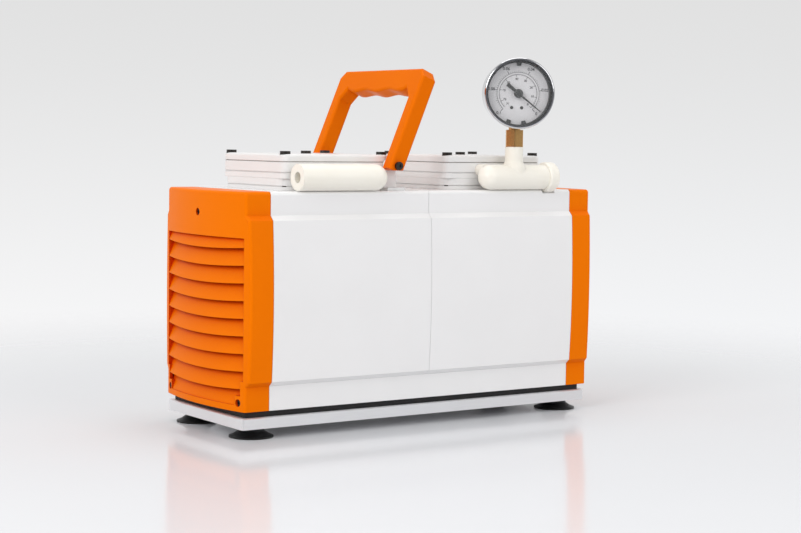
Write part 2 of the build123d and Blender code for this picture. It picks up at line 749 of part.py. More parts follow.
def handle_bracket(side):
    foot_y = sorted((side * 50.4, side * 62.0))
    ear_y = sorted((side * 50.4, side * 52.4))
    part = block(-39.0, -22.0, *foot_y, DECK_Z, 199.1)
    part += block(-36.5, -24.5, *ear_y, DECK_Z, PIVOT_Z)
    part += rod_y(*ear_y, PIVOT_X, PIVOT_Z, 6.0)
    part -= rod_y(*sorted((side * 50.0, side * 53.0)), PIVOT_X, PIVOT_Z, 2.2)
    part -= rod_z(DECK_Z, 197.1, PIVOT_X, side * 58.0, 2.0)
    return part - Pos(PIVOT_X, side * 58.0, 198.1) * Cone(2.0, 4.0, 2.0)


def bracket_screw(side):
    screw = rod_z(187.0, 197.1, PIVOT_X, side * 58.0, 2.0)
    screw += Pos(PIVOT_X, side * 58.0, 198.1) * Cone(2.0, 4.0, 2.0)
    return screw - rod_z(198.3, 200, PIVOT_X, side * 58.0, 1.3)


# ---------------------------------------------------------------- rear electrics
def power_inlet():
    part = block(SOCKET_X - 15.5, SOCKET_X + 15.5, REAR_Y, REAR_Y + 2.5, PANEL_MID - 12, PANEL_MID + 12)
    part += block(SOCKET_X - 13.5, SOCKET_X + 13.5, REAR_Y - 22, REAR_Y, PANEL_MID - 9.8, PANEL_MID + 9.8)
    part -= block(SOCKET_X - 12, SOCKET_X + 12, REAR_Y - 13.5, REAR_Y + 3, PANEL_MID - 8, PANEL_MID + 8)
    for pin in pin_blocks():
        part -= pin
    return part


def pin_blocks():
    pins = []
    for dx, dz in ((-7.0, -1.5), (7.0, -1.5), (0.0, 2.5)):
        x = SOCKET_X + dx
        z = PANEL_MID + dz
        pins.append(block(x - 1, x + 1, REAR_Y - 28, REAR_Y - 0.5, z - 2, z + 2))
    return pins


def rocker_switch():
    part = block(SWITCH_X - 8, SWITCH_X + 8, REAR_Y, REAR_Y + 2, PANEL_MID - 11, PANEL_MID + 11)
    part += block(SWITCH_X - 7.2, SWITCH_X + 7.2, REAR_Y - 14, REAR_Y, PANEL_MID - 9.8, PANEL_MID + 9.8)
    part -= rod_x(SWITCH_X - 5.5, SWITCH_X + 5.5, REAR_Y - 2, PANEL_MID, 8.5)
    part -= block(SWITCH_X - 5.5, SWITCH_X + 5.5, REAR_Y - 2, REAR_Y + 5, PANEL_MID - 8.5, PANEL_MID + 8.5)
    return part - rod_x(SWITCH_X - 6.8, SWITCH_X + 6.8, REAR_Y - 2, PANEL_MID, 1.25)


def switch_rocker():
    with BuildSketch() as s:
        Circle(8.2)
        with BuildSketch(mode=Mode.INTERSECT):
            Polygon((-9, -3.5), (9, -3.5), (9, 5.4), (0, 4.2), (-9, 5.4), align=None)
    key = Pos(-5.2, 0, 0) * extrude(Plane.YZ * (Rot(0, 0, -90) * s.sketch), 10.4)
    key += rod_x(-6.6, 6.6, 0, 0, 1.2)
    return Pos(SWITCH_X, REAR_Y - 2, PANEL_MID) * Rot(-10, 0, 0) * key


def parts():
    left, right = -1, 1
    up, down = THROW, -THROW
    return {
        "base_plate": base_plate(),
        "base_pad": base_pad(),
        "rubber_feet": at_feet(foot),
        "foot_studs": at_feet(foot_stud),
        "chassis_bolts": chassis_bolts(),
        "chassis_tray": chassis_tray(),
        "casing_left": casing_left(),
        "casing_right": casing_right(),
        "rear_panel": rear_panel(),
        "end_cap_left": other_side(end_cap()),
        "end_cap_right": end_cap(),
        "cap_screws": cap_screws(),
        "crankcases": [other_side(crankcase()), crankcase()],
        "main_bearings": main_bearings(),
        "stator_core": stator_core(),
        "stator_windings": stator_windings(),
        "motor_end_bells": motor_end_bells(),
        "motor_screws": motor_screws(),
        "run_capacitor": run_capacitor(),
        "rotor_shaft": rotor_shaft(),
        "rotor_core": rotor_core(),
        "eccentric_left": eccentric(left, up),
        "eccentric_right": eccentric(right, down),
        "cooling_fans": [cooling_fan(), other_side(cooling_fan())],
        "rod_bearing_left": rod_bearing(left, up),
        "rod_bearing_right": rod_bearing(right, down),
        "connecting_rod_left": connecting_rod(left, up),
        "connecting_rod_right": connecting_rod(right, down),
        "diaphragm_clamp_left": diaphragm_clamp(left, up),
        "diaphragm_clamp_right": diaphragm_clamp(right, down),
        "diaphragm_left": diaphragm(left, up),
        "diaphragm_right": diaphragm(right, down),
        "head_base_left": other_side(head_base()),
        "head_base_right": head_base(),
        "valve_plate_left": other_side(valve_plate(PORT_IN)),
        "valve_plate_right": valve_plate(-PORT_IN),
        "valve_discs": valve_discs(),
        "cover_gaskets": [cover_gasket(), other_side(cover_gasket())],
        "head_cover_left": other_side(head_cover()),
        "head_cover_right": head_cover(),
        "head_screws": head_screws(),
        "outlet_manifold": outlet_manifold(),
        "inlet_manifold": inlet_manifold(),
        "inlet_nut": inlet_nut(),
        "crossover_fittings": crossover_fittings(),
        "crossover_tubes": crossover_tubes(),
        "gauge_stem": gauge_stem(),
        "gauge_case": gauge_case(),
        "gauge_bezel": gauge_bezel(),
        "gauge_lens": gauge_lens(),
        "gauge_dial": gauge_dial(),
        "gauge_pointer": gauge_pointer(),
        "carry_handle": carry_handle(),
        "handle_pivots": [handle_pivot(left), handle_pivot(right)],
        "handle_brackets": [handle_bracket(left), handle_bracket(right)],
        "bracket_screws": [bracket_screw(left), bracket_screw(right)],
        "power_inlet": power_inlet(),
        "inlet_pins": pin_blocks(),
        "rocker_switch": rocker_switch(),
        "switch_rocker": switch_rocker(),
    }


def main():
    os.makedirs("parts", exist_ok=True)
    for name, shape in parts().items():
        if isinstance(shape, list):
            shape = Compound(children=shape)
        export_step(shape, "parts/" + name + ".step")


if __name__ == "__main__":
    main()
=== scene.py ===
"""Bench-top diaphragm vacuum pump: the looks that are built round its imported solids."""

import logging
import math
from dataclasses import dataclass
from enum import Enum

import bmesh
import bpy
from mathutils import Matrix, Vector


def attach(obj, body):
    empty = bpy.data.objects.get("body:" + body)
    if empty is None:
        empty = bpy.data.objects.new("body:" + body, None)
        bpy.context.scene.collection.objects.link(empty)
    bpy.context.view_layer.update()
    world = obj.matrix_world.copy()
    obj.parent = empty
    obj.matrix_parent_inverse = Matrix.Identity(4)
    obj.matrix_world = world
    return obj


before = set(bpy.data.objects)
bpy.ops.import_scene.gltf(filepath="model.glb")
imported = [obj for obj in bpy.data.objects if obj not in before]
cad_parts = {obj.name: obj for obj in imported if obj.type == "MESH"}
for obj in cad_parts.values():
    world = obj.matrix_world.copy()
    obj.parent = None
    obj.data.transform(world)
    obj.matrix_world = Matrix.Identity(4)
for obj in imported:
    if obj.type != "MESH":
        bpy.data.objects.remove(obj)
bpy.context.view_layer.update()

MM = 0.001
LOG = logging.getLogger("pump")

Tree = bpy.types.NodeTree
Socket = bpy.types.NodeSocket
Mesh = bmesh.types.BMesh
Point = tuple[float, float, float]


class Body(Enum):
    """The rigid bodies that the dressed pieces ride on."""

    FRAME = "frame"
    POINTER = "pointer"


def linear(code: str) -> tuple[float, float, float, float]:
    """Turns a sRGB hex colour into linear light.

    Args:
        code: six hex digits.

    Returns:
        Red, green, blue and an alpha of one.
    """
    parts = [int(code[i:i + 2], 16) / 255 for i in (0, 2, 4)]
    light = [c / 12.92 if c <= 0.04045 else ((c + 0.055) / 1.055) ** 2.4 for c in parts]
    return (light[0], light[1], light[2], 1.0)


def scale_of(size_mm: float) -> float:
    """Turns a pattern's size in mm into a texture scale."""
    return 1 / (size_mm * MM)


def add(tree: Tree, kind: str, settings: dict | None = None, inputs: dict | None = None) -> bpy.types.Node:
    """Adds one node to a tree.

    Args:
        tree: the node tree.
        kind: the node's type name.
        settings: attributes to set on the node.
        inputs: values for its inputs, by name or number; an output socket is linked instead.

    Returns:
        The new node.
    """
    node = tree.nodes.new(kind)
    for key, value in (settings or {}).items():
        setattr(node, key, value)
    for key, value in (inputs or {}).items():
        if isinstance(value, bpy.types.NodeSocket):
            tree.links.new(value, node.inputs[key])
        else:
            node.inputs[key].default_value = value
    return node


def start(name: str) -> tuple[bpy.types.Material, Tree, bpy.types.Node, Socket]:
    """Begins a material with a shader, an output and object coordinates.

    Args:
        name: the material's name.

    Returns:
        The material, its tree, its Principled shader and the coordinate socket.
    """
    material = bpy.data.materials.new(name)
    material.use_nodes = True
    tree = material.node_tree
    tree.nodes.clear()
    shader = add(tree, "ShaderNodeBsdfPrincipled")
    add(tree, "ShaderNodeOutputMaterial", None, {"Surface": shader.outputs[0]})
    place = add(tree, "ShaderNodeTexCoord").outputs["Object"]
    return material, tree, shader, place


def rounded(tree: Tree, radius_mm: float, height: Socket, depth_mm: float) -> Socket:
    """Rounds sharp moulded edges in the shading and adds a fine relief.

    Args:
        tree: the node tree.
        radius_mm: edge radius.
        height: the relief's height, 0 to 1.
        depth_mm: the relief's depth.

    Returns:
        The normal.
    """
    edge = add(tree, "ShaderNodeBevel", {"samples": 4}, {"Radius": radius_mm * MM})
    relief = {"Height": height, "Strength": 1.0, "Distance": depth_mm * MM, "Normal": edge.outputs[0]}
    return add(tree, "ShaderNodeBump", None, relief).outputs["Normal"]


@dataclass(frozen=True)
class MouldedPlastic:
    """Injection-moulded ABS: a cloudy tone, a faint ripple and rounded edges that catch light, with
    painted shade in its recesses where a shade colour is given.
    """

    name: str
    light: str
    deep: str
    roughness: float = 0.22
    rough_vary: float = 0.2
    ripple_mm: float = 7.0
    ripple_depth_mm: float = 0.02
    cloud_mm: float = 55.0
    coat: float = 0.3
    coat_roughness: float = 0.06
    edge_mm: float = 0.7
    gloss: float = 0.5
    ior: float = 1.52
    # Colour of the painted shade in recesses; empty for none.
    recess: str = ""
    recess_reach_mm: float = 14.0
    recess_closed: float = 0.35
    recess_open: float = 0.95

    def material(self) -> bpy.types.Material:
        """Builds the plastic."""
        made, tree, shader, place = start(self.name)
        cloud = add(tree, "ShaderNodeTexNoise", None,
                    {"Vector": place, "Scale": scale_of(self.cloud_mm), "Detail": 3.0}).outputs["Fac"]
        tone = add(tree, "ShaderNodeMix", {"data_type": "RGBA"},
                   {"Factor": cloud, "A": linear(self.deep), "B": linear(self.light)}).outputs["Result"]
        ripple = add(tree, "ShaderNodeTexNoise", None,
                     {"Vector": place, "Scale": scale_of(self.ripple_mm), "Detail": 2.0}).outputs["Fac"]
        rough = add(tree, "ShaderNodeMapRange", None,
                    {"Value": cloud, "To Min": self.roughness * (1 - self.rough_vary),
                     "To Max": self.roughness * (1 + self.rough_vary)}).outputs["Result"]
        if self.recess:
            tone = self.deepened(tree, tone)
        tree.links.new(tone, shader.inputs["Base Color"])
        tree.links.new(rough, shader.inputs["Roughness"])
        tree.links.new(rounded(tree, self.edge_mm, ripple, self.ripple_depth_mm), shader.inputs["Normal"])
        shader.inputs["IOR"].default_value = self.ior
        shader.inputs["Specular IOR Level"].default_value = self.gloss
        shader.inputs["Coat Weight"].default_value = self.coat
        shader.inputs["Coat Roughness"].default_value = self.coat_roughness
        return made

    def deepened(self, tree: Tree, tone: Socket) -> Socket:
        """Paints shade into the tone: reddens it in gaps and corners, standing in for the shade and the
        light that bounces between coloured walls there.

        Args:
            tree: the node tree.
            tone: the colour out in the open.

        Returns:
            The colour with painted shade in its recesses.
        """
        # Painted shade: the ambient occlusion mask turns the tone towards the shade colour in recesses.
        shade = add(tree, "ShaderNodeAmbientOcclusion", {"samples": 6},
                    {"Distance": self.recess_reach_mm * MM})
        openness = add(tree, "ShaderNodeMapRange", None,
                       {"Value": shade.outputs["AO"], "From Min": self.recess_closed,
                        "From Max": self.recess_open})
        return add(tree, "ShaderNodeMix", {"data_type": "RGBA"},
                   {"Factor": openness.outputs["Result"], "A": linear(self.recess),
                    "B": tone}).outputs["Result"]


@dataclass(frozen=True)
class NaturalPolypropylene:
    """Unpigmented moulded polypropylene: milky, a little see-through, with warm thick places."""

    name: str
    light: str
    deep: str
    scatter: float
    roughness: float = 0.28
    depth_mm: float = 4.0
    cloud_mm: float = 22.0
    skin_mm: float = 1.6
    skin_depth_mm: float = 0.01
    edge_mm: float = 0.8
    ior: float = 1.49
    soak: Point = (1.0, 0.98, 0.94)

    def material(self) -> bpy.types.Material:
        """Builds the milky plastic with light soaking into it."""
        made, tree, shader, place = start(self.name)
        cloud = add(tree, "ShaderNodeTexNoise", None,
                    {"Vector": place, "Scale": scale_of(self.cloud_mm), "Detail": 2.0})
        tone = add(tree, "ShaderNodeMix", {"data_type": "RGBA"},
                   {"Factor": cloud.outputs["Fac"], "A": linear(self.deep), "B": linear(self.light)})
        skin = add(tree, "ShaderNodeTexNoise", None,
                   {"Vector": place, "Scale": scale_of(self.skin_mm), "Detail": 3.0})
        relief = rounded(tree, self.edge_mm, skin.outputs["Fac"], self.skin_depth_mm)
        tree.links.new(tone.outputs["Result"], shader.inputs["Base Color"])
        tree.links.new(relief, shader.inputs["Normal"])
        shader.inputs["Roughness"].default_value = self.roughness
        shader.inputs["IOR"].default_value = self.ior
        shader.inputs["Subsurface Weight"].default_value = self.scatter
        shader.inputs["Subsurface Radius"].default_value = self.soak
        shader.inputs["Subsurface Scale"].default_value = self.depth_mm * MM
        return made


@dataclass(frozen=True)
class BrushedMetal:
    """Drawn or milled bare metal: fine scratches in one direction over a soft sheen.

    The scratches are drawn coarser than real ones, which would be too fine to show.
    """

    name: str
    light: str
    deep: str
    roughness: float = 0.35
    rough_vary: float = 0.25
    metallic: float = 1.0
    grain_mm: float = 0.35
    length_mm: float = 25.0
    scratch_depth_mm: float = 0.02
    scratch_strength: float = 0.2

    def material(self) -> bpy.types.Material:
        """Builds the metal with its lengthwise grain."""
        made, tree, shader, place = start(self.name)
        across = scale_of(self.grain_mm)
        along = add(tree, "ShaderNodeMapping", None,
                    {"Vector": place, "Scale": (scale_of(self.length_mm), across, across)})
        grain = add(tree, "ShaderNodeTexNoise", None,
                    {"Vector": along.outputs[0], "Scale": 1.0, "Detail": 3.0}).outputs["Fac"]
        tone = add(tree, "ShaderNodeMix", {"data_type": "RGBA"},
                   {"Factor": grain, "A": linear(self.deep), "B": linear(self.light)})
        rough = add(tree, "ShaderNodeMapRange", None,
                    {"Value": grain, "To Min": self.roughness * (1 - self.rough_vary),
                     "To Max": self.roughness * (1 + self.rough_vary)})
        bump = add(tree, "ShaderNodeBump", None,
                   {"Height": grain, "Strength": self.scratch_strength,
                    "Distance": self.scratch_depth_mm * MM})
        tree.links.new(tone.outputs["Result"], shader.inputs["Base Color"])
        tree.links.new(rough.outputs["Result"], shader.inputs["Roughness"])
        tree.links.new(bump.outputs["Normal"], shader.inputs["Normal"])
        shader.inputs["Metallic"].default_value = self.metallic
        return made


@dataclass(frozen=True)
class MouldedRubber:
    """A matt skin such as rubber's: faintly mottled, with a fine sandy relief."""

    name: str
    light: str
    deep: str
    roughness: float = 0.6
    bloom_mm: float = 9.0
    skin_mm: float = 0.5
    skin_depth_mm: float = 0.05
    skin_strength: float = 0.4

    def material(self) -> bpy.types.Material:
        """Builds the matt skin with its bloom and sandy relief."""
        made, tree, shader, place = start(self.name)
        bloom = add(tree, "ShaderNodeTexNoise", None,
                    {"Vector": place, "Scale": scale_of(self.bloom_mm), "Detail": 4.0})
        tone = add(tree, "ShaderNodeMix", {"data_type": "RGBA"},
                   {"Factor": bloom.outputs["Fac"], "A": linear(self.deep), "B": linear(self.light)})
        skin = add(tree, "ShaderNodeTexNoise", None,
                   {"Vector": place, "Scale": scale_of(self.skin_mm), "Detail": 2.0})
        bump = add(tree, "ShaderNodeBump", None,
                   {"Height": skin.outputs["Fac"], "Strength": self.skin_strength,
                    "Distance": self.skin_depth_mm * MM})
        tree.links.new(tone.outputs["Result"], shader.inputs["Base Color"])
        tree.links.new(bump.outputs["Normal"], shader.inputs["Normal"])
        shader.inputs["Roughness"].default_value = self.roughness
        return made


@dataclass(frozen=True)
class InstrumentGlass:
    """Flat float glass over a dial: nearly clear, with a sharp gloss."""

    name: str
    tint: str
    alpha: float = 0.05
    haze_mm: float = 14.0
    rough_low: float = 0.03
    rough_high: float = 0.07
    ior: float = 1.5

    def material(self) -> bpy.types.Material:
        """Builds the glass as a thin clear sheet."""
        made, tree, shader, place = start(self.name)
        haze = add(tree, "ShaderNodeTexNoise", None,
                   {"Vector": place, "Scale": scale_of(self.haze_mm), "Detail": 2.0})
        rough = add(tree, "ShaderNodeMapRange", None,
                    {"Value": haze.outputs["Fac"], "To Min": self.rough_low, "To Max": self.rough_high})
        tree.links.new(rough.outputs["Result"], shader.inputs["Roughness"])
        shader.inputs["Base Color"].default_value = linear(self.tint)
        shader.inputs["Alpha"].default_value = self.alpha
        shader.inputs["IOR"].default_value = self.ior
        return made


class Finishes:
    """Every finish of the pump, made once."""

    KINDS = (
        # Glossy white moulding: clean panels whose edges carry a thin line of light.
        MouldedPlastic("abs_white_panel", "EEEDED", "E9E8E8"),
        # Satin orange moulding: strong colour, with painted shade that turns it red between the louvres.
        MouldedPlastic("abs_orange_cap", "F07700", "EB7100", roughness=0.34, coat=0.0, gloss=0.03,
                       recess="CE3000"),
        # The same moulding a shade deeper, with crisper edges round the grip and painted shade in its
        # recesses.
        MouldedPlastic("abs_orange_handle", "E66F00", "E06800", roughness=0.34, coat=0.0, gloss=0.03,
                       recess="E25600", edge_mm=0.5),
        # Small glossy red key.
        MouldedPlastic("abs_red_rocker", "B01810", "9A120C", cloud_mm=8),
        # Thick white blocks with a soft waxy shine.
        NaturalPolypropylene("pp_white_head", "E9E8E7", "E2E1E0", scatter=0.05),
        # Warm cream pipework that glows a little where light soaks in.
        NaturalPolypropylene("pp_cream_pipe", "F5F1E8", "EEE9DC", scatter=0.12),
        # Thin milky tube.
        NaturalPolypropylene("ptfe_tube", "EFEEE9", "E4E2DA", scatter=0.15),
        # Milled plate, nearly white, with streaks along its length.
        BrushedMetal("anodised_aluminium_plate", "F0F0F1", "E4E4E6", roughness=0.36, metallic=0.6),
        # Grey casting with an even, grainy face.
        BrushedMetal("cast_aluminium", "B4B6B8", "909294", grain_mm=1.5, length_mm=1.5),
        # Pale bluish-grey plated hardware.
        BrushedMetal("zinc_plated_steel", "C4C5C8", "A4A6AA", roughness=0.3),
        # Bright ground rings and shaft.
        BrushedMetal("ground_bearing_steel", "C9CACC", "A9AAAC", roughness=0.22, length_mm=2),
        # Dark layered core, dull across its sheets.
        BrushedMetal("laminated_core_steel", "6E7074", "45474A", roughness=0.5, grain_mm=0.5),
        # Oiled brown-black screws with a dim shine.
        BrushedMetal("black_oxide_steel", "55524F", "33312F", roughness=0.45, length_mm=2),
        # Dull dark counterweights.
        BrushedMetal("machined_cast_iron", "5A5A5C", "3C3C3E", roughness=0.5, length_mm=3),
        # Reddish varnished windings.
        BrushedMetal("enamelled_copper", "C0703A", "8C4620", roughness=0.3, length_mm=8),
        # Golden turned fitting with soft bands of light and dark.
        BrushedMetal("turned_brass", "F0C688", "B8823A", roughness=0.2, metallic=0.85,
                     grain_mm=0.3, length_mm=0.3),
        # Mirror-like case and ring.
        BrushedMetal("polished_chrome", "D6D6D8", "CCCCCE", roughness=0.09, length_mm=4),
        # Matt black strip under the casing, whose black paints the shadow in the gap between casing and
        # plate.
        MouldedRubber("black_pad_painted_gap_shadow", "1C1A19", "0C0B0B"),
        # Smooth black suction cups with a faint sheen.
        MouldedRubber("suction_rubber", "0E0E0E", "060606", roughness=0.42),
        # Soft dark grey sheet.
        MouldedRubber("membrane_rubber", "2A2A2A", "171717"),
        # Dull warm grey sheet between the plates of a head.
        MouldedRubber("gasket_rubber", "A39C98", "8A8480", roughness=0.7),
        # Satin black housings of the electrics, fans and dial ring.
        MouldedRubber("black_nylon", "1E1E20", "101012", roughness=0.5),
        # Mid-grey sleeve.
        MouldedRubber("grey_capacitor", "5A5C60", "46484C", roughness=0.5),
        # Pale grey dial face in the shade of its glass.
        MouldedRubber("white_dial_enamel", "DBD9DB", "D2D0D2", roughness=0.5),
        # Soft black print.
        MouldedRubber("black_dial_ink", "26252A", "1A191D", roughness=0.6),
        # Deep black needle.
        MouldedRubber("black_needle_paint", "0E0E10", "070708", roughness=0.45),
        # Clear pane with a sharp glint.
        InstrumentGlass("dial_glass", "F2F5F5"),
    )

    def __init__(self) -> None:
        """Makes all the materials."""
        self.made = {kind.name: kind.material() for kind in self.KINDS}

    def __getitem__(self, name: str) -> bpy.types.Material:
        """Gives one finish by name."""
        return self.made[name]


@dataclass
class SubAssembly:
    """A group of CAD nodes that is finished, and where needed dressed, as one unit."""

    finishes: Finishes

    def dress(self, finish: str, *nodes: str) -> None:
        """Gives CAD nodes their finish.

        Args:
            finish: the finish's name.
            nodes: the names of the nodes.
        """
        for node in nodes:
            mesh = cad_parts[node].data
            mesh.materials.clear()
            mesh.materials.append(self.finishes[finish])
            LOG.info("node %s: %s", node, finish)

    def build(self) -> None:
        """Finishes the unit."""
        raise NotImplementedError


class Base(SubAssembly):
    """The aluminium plate on its suction feet, with the black pad under the casing that paints the shadow
    in the gap there.
    """

    def build(self) -> None:
        """Finishes plate, pad, feet and their hardware."""
        self.dress("anodised_aluminium_plate", "base_plate")
        # Painted shadow: the pad's black stands for the shade in the gap between casing and plate.
        self.dress("black_pad_painted_gap_shadow", "base_pad")
        self.dress("suction_rubber", "rubber_feet")
        self.dress("zinc_plated_steel", "foot_studs", "chassis_bolts")


class Casing(SubAssembly):
    """The white tray, the two casing halves and the rear panel."""

    def build(self) -> None:
        """Finishes the white mouldings."""
        self.dress("abs_white_panel", "chassis_tray", "casing_left", "casing_right", "rear_panel")


class EndCaps(SubAssembly):
    """The two orange louvred end caps and their screws."""

    def build(self) -> None:
        """Finishes the caps."""
        self.dress("abs_orange_cap", "end_cap_left", "end_cap_right")
        self.dress("black_oxide_steel", "cap_screws")


class Drive(SubAssembly):
    """The motor, its shaft and the two crank drives inside the casing."""

    def build(self) -> None:
        """Finishes what can be seen through the louvres, and the rest with it."""
        self.dress("cast_aluminium", "crankcases", "motor_end_bells", "connecting_rod_left",
                   "connecting_rod_right", "diaphragm_clamp_left", "diaphragm_clamp_right")
        self.dress("ground_bearing_steel", "main_bearings", "rotor_shaft",
                   "rod_bearing_left", "rod_bearing_right")
        self.dress("laminated_core_steel", "stator_core", "rotor_core")
        self.dress("machined_cast_iron", "eccentric_left", "eccentric_right")
        self.dress("enamelled_copper", "stator_windings")
        self.dress("zinc_plated_steel", "motor_screws")
        self.dress("black_nylon", "cooling_fans")
        self.dress("grey_capacitor", "run_capacitor")


class Heads(SubAssembly):
    """The two pump heads with their stacked plates, membranes and cover screws."""

    def build(self) -> None:
        """Finishes both heads."""
        self.dress("pp_white_head", "head_base_left", "head_base_right", "valve_plate_left",
                   "valve_plate_right", "head_cover_left", "head_cover_right")
        self.dress("gasket_rubber", "cover_gaskets")
        self.dress("membrane_rubber", "diaphragm_left", "diaphragm_right", "valve_discs")
        self.dress("black_oxide_steel", "head_screws")


class Pneumatics(SubAssembly):
    """The pipework in front of the heads and across behind them."""

    def build(self) -> None:
        """Finishes manifolds, nut and tubes."""
        self.dress("pp_cream_pipe", "outlet_manifold", "inlet_manifold", "inlet_nut",
                   "crossover_fittings")
        self.dress("ptfe_tube", "crossover_tubes")


class Carrying(SubAssembly):
    """The orange handle, its pivots and brackets."""

    def build(self) -> None:
        """Finishes the handle."""
        self.dress("abs_orange_handle", "carry_handle")
        self.dress("pp_white_head", "handle_brackets")
        self.dress("black_oxide_steel", "handle_pivots")
        self.dress("zinc_plated_steel", "bracket_screws")


class Electrics(SubAssembly):
    """The mains socket and the rocker switch at the back."""

    def build(self) -> None:
        """Finishes socket and switch."""
        self.dress("black_nylon", "power_inlet", "rocker_switch")
        self.dress("turned_brass", "inlet_pins")
        self.dress("abs_red_rocker", "switch_rocker")


def finished(bm: Mesh, name: str, material: bpy.types.Material, body: Body,
             smooth: float = 35.0) -> bpy.types.Object:
    """Turns a bmesh into a piece that rides on a body.

    Args:
        bm: the mesh, already in place; it is freed.
        name: the piece's name.
        material: its finish.
        body: the body it rides on.
        smooth: the angle in degrees up to which edges are shaded smooth.

    Returns:
        The new object.
    """
    mesh = bpy.data.meshes.new(name)
    bm.to_mesh(mesh)
    bm.free()
    mesh.materials.append(material)
    piece = bpy.data.objects.new(name, mesh)
    bpy.context.scene.collection.objects.link(piece)
    mesh.shade_smooth()
    mesh.set_sharp_from_angle(angle=math.radians(smooth))
    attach(piece, body.value)
    LOG.info("piece %s: %d faces on %s", name, len(mesh.polygons), body.value)
    return piece


@dataclass
class Gauge(SubAssembly):
    """The dial gauge: printed scales and numbers, pointer hub, retaining ring and dial screws."""

    turn: float = 29.0
    tilt: float = 2.6
    centre: Point = (92.487, -64.124, 279.2)
    zero: float = -44.0
    full: float = 228.0
    dial_z: float = 5.6
    print_t: float = 0.08
    line_w: float = 0.32
    track_in: float = 16.4
    track_out: float = 18.2
    outer_steps: int = 50
    outer_reach: Point = (2.9, 2.0, 1.3)
    outer_w: tuple[float, float] = (0.5, 0.26)
    outer_text: tuple[str, ...] = ("0", "0.02", "0.04", "0.06", "0.08", "0.1")
    outer_text_r: float = 23.4
    outer_text_size: float = 3.5
    inner_steps: int = 76
    inner_reach: Point = (1.9, 1.2, 0.8)
    inner_w: tuple[float, float] = (0.42, 0.2)
    inner_text: tuple[int, ...] = (0, 10, 20, 30, 40, 50, 60, 70, 76)
    inner_text_r: float = 12.5
    inner_text_size: float = 2.7
    stroke: float = 0.075
    ring_out: float = 27.8
    ring_in: float = 26.4
    ring_top: float = 10.9
    ring_chamfer: float = 0.4
    tabs: Point = (92.0, 254.0, 284.0)
    tab_r: float = 25.4
    tab_size: Point = (3.6, 4.6, 1.4)
    tab_taper: float = 0.7
    screws: tuple[tuple[float, float], ...] = ((-4.9, -12.2), (3.8, -11.9))
    screw_r: float = 1.45
    screw_top_r: float = 1.3
    screw_h: float = 0.5
    hub: tuple[tuple[float, float], ...] = (
        (3.85, 8.75), (3.85, 9.2), (3.4, 9.75), (2.2, 10.1), (0.9, 10.2), (0.0, 10.2))

    def place(self) -> Matrix:
        """Gives the matrix from the dial's own millimetres to the row frame."""
        turn, tilt = math.radians(self.turn), math.radians(self.tilt)
        level = Vector((math.cos(turn), -math.sin(turn), 0))
        right = level * math.cos(tilt) - Vector((0, 0, math.sin(tilt)))
        out = Vector((-math.sin(turn), -math.cos(turn), 0))
        spin = Matrix((right, out.cross(right), out)).transposed().to_4x4()
        return Matrix.Translation(Vector(self.centre) * MM) @ spin @ Matrix.Scale(MM, 4)

    def finish(self, bm: Mesh, name: str, kind: str, body: Body, slot: str) -> None:
        """Puts a mesh made in the dial's own millimetres in place.

        Args:
            bm: the mesh.
            name: the piece's name.
            kind: its finish.
            body: the body it rides on.
            slot: the record's material slot; not used.
        """
        bmesh.ops.recalc_face_normals(bm, faces=bm.faces)
        bmesh.ops.transform(bm, matrix=self.place(), verts=bm.verts)
        finished(bm, name, self.finishes[kind], body)

    def tick(self, bm: Mesh, angle: float, inner: float, outer: float, width: float) -> None:
        """Adds one radial mark.

        Args:
            bm: the mesh to add to.
            angle: its direction in degrees, anticlockwise from the right.
            inner: radius at its near end in mm.
            outer: radius at its far end in mm.
            width: its width in mm.
        """
        made = bmesh.ops.create_cube(bm, size=1.0)
        shape = Matrix.Diagonal((outer - inner, width, self.print_t, 1.0))
        shape = Matrix.Translation(((inner + outer) / 2, 0, self.dial_z + self.print_t / 2)) @ shape
        shape = Matrix.Rotation(math.radians(angle), 4, "Z") @ shape
        bmesh.ops.transform(bm, matrix=shape, verts=made["verts"])

    def arc(self, bm: Mesh, radius: float) -> None:
        """Adds the printed line that a scale stands on.

        Args:
            bm: the mesh to add to.
            radius: the line's radius in mm.
        """
        level = self.dial_z + 0.06
        low = bm.verts.new((radius - self.line_w / 2, 0, level))
        high = bm.verts.new((radius + self.line_w / 2, 0, level))
        edge = bm.edges.new((low, high))
        turn = Matrix.Rotation(math.radians(self.zero), 4, "Z")
        bmesh.ops.transform(bm, matrix=turn, verts=[low, high])
        bmesh.ops.spin(bm, geom=[low, high, edge], axis=(0, 0, 1), cent=(0, 0, 0), dvec=(0, 0, 0),
                       angle=math.radians(self.full - self.zero), steps=72, use_merge=False)

    def marks(self, bm: Mesh, steps: int, track: float, side: int, reaches: Point,
              widths: tuple[float, float]) -> None:
        """Adds one scale's marks, long at each tenth and middling at each fifth.

        Args:
            bm: the mesh to add to.
            steps: the number of spaces in the scale.
            track: the radius of its line in mm.
            side: 1 for marks outside the line, -1 for marks inside it.
            reaches: lengths of long, middling and short marks in mm.
            widths: widths of long and other marks in mm.
        """
        for step in range(steps + 1):
            angle = self.zero + (self.full - self.zero) * step / steps
            reach = reaches[0] if step % 10 == 0 else reaches[1] if step % 5 == 0 else reaches[2]
            inner, outer = (track, track + reach) if side > 0 else (track - reach, track)
            self.tick(bm, angle, inner, outer, widths[0] if step % 10 == 0 else widths[1])

    def scales(self) -> None:
        """Prints both scales: two lines, with the marks outside one and inside the other."""
        bm = bmesh.new()
        self.arc(bm, self.track_out)
        self.arc(bm, self.track_in)
        self.marks(bm, self.outer_steps, self.track_out, 1, self.outer_reach, self.outer_w)
        self.marks(bm, self.inner_steps, self.track_in, -1, self.inner_reach, self.inner_w)
        self.finish(bm, "dial_scales", "black_dial_ink", Body.FRAME, "pointer_black")

